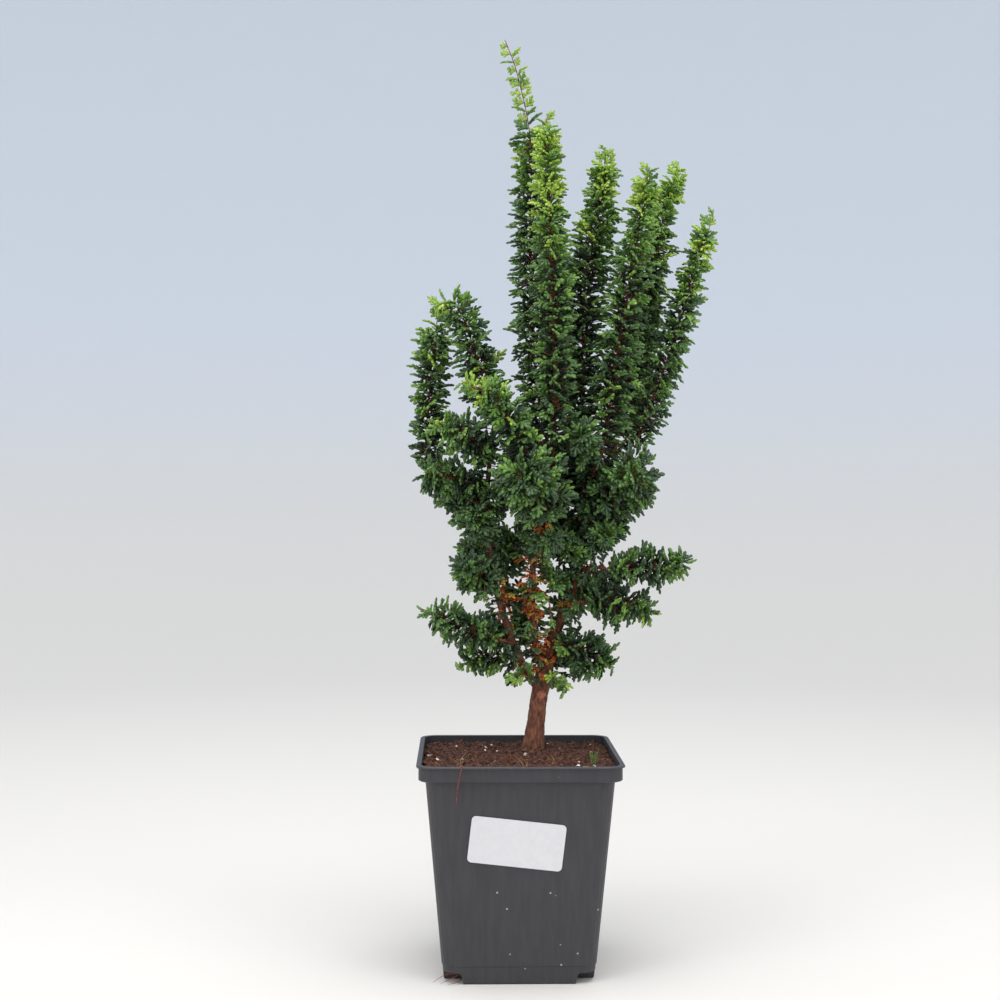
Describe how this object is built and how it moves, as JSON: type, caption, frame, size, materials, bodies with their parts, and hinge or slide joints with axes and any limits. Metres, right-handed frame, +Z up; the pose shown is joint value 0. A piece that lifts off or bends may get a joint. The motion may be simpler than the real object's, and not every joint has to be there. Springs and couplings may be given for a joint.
{
  "type": "hinoki cypress bonsai",
  "caption": "Young hinoki cypress bonsai with upright feathery leaders and drooping low tiers, growing in a square tapered nursery pot.",
  "frame": {"origin": "middle of the pot's flat underside", "axes": "+Z up along the tree, -Y out of the pot's front with the blank label, +X to the right of that front"},
  "size_m": [0.1743, 0.1109, 0.5101],
  "materials": {
    "pot_plastic": "matte moulded nursery pot plastic",
    "peat": "moist fibrous peat with pale grit",
    "sticker_paper": "blank white label",
    "bark": "reddish brown flaking bark",
    "foliage_green": "fresh green scale foliage",
    "foliage_dark": "older dark green scale foliage",
    "foliage_pale": "pale young scale foliage"
  },
  "bodies": {
    "root": {"bough_inner_right_leader": "bark", "bough_lower_left": "bark", "bough_lower_right": "bark", "bough_outer_left": "bark", "bough_outer_right_leader": "bark", "bough_rear_far_leader": "bark", "bough_rear_leader": "bark", "bough_rear_right_leader": "bark", "bough_right_tier": "bark", "leader_front": "foliage_green", "leader_inner_right": "foliage_green", "leader_left": "foliage_green", "leader_middle": "foliage_green", "leader_outer_right": "foliage_green", "leader_rear": "foliage_green", "leader_rear_far": "foliage_green", "leader_rear_right": "foliage_green", "left_stem": "bark", "mass_between_stems": "foliage_dark", "mass_front": "foliage_dark", "mass_front_left": "foliage_dark", "mass_front_low": "foliage_dark", "mass_inner_left": "foliage_dark", "mass_inner_low": "foliage_dark", "mass_inner_right": "foliage_dark", "mass_left": "foliage_dark", "mass_left_lower_dark": "foliage_dark", "mass_left_upper_dark": "foliage_dark", "mass_middle_low": "foliage_dark", "mass_rear": "foliage_dark", "mass_rear_left": "foliage_dark", "mass_rear_left_low": "foliage_dark", "mass_rear_low": "foliage_dark", "mass_rear_middle": "foliage_dark", "mass_rear_right": "foliage_dark", "mass_right": "foliage_dark", "mass_right_low": "foliage_dark", "mass_right_upper": "foliage_dark", "middle_stem": "bark", "plume_front_left": "foliage_green", "plume_inner_left": "foliage_green", "plume_low_left": "foliage_green", "plume_outer_left": "foliage_green", "pot": "pot_plastic", "soil": "peat", "spray_foot_left": "foliage_dark", "spray_foot_right": "foliage_dark", "spray_hanging": "foliage_pale", "sticker": "sticker_paper", "tier_foot_left": "foliage_dark", "tier_foot_right": "foliage_dark", "tier_lower_left": "foliage_dark", "tier_lower_right": "foliage_dark", "tier_rear_foot": "foliage_dark", "tier_rear_left": "foliage_dark", "tier_rear_right": "foliage_dark", "tier_right": "foliage_dark", "trunk": "bark"}
  },
  "joints": []
}
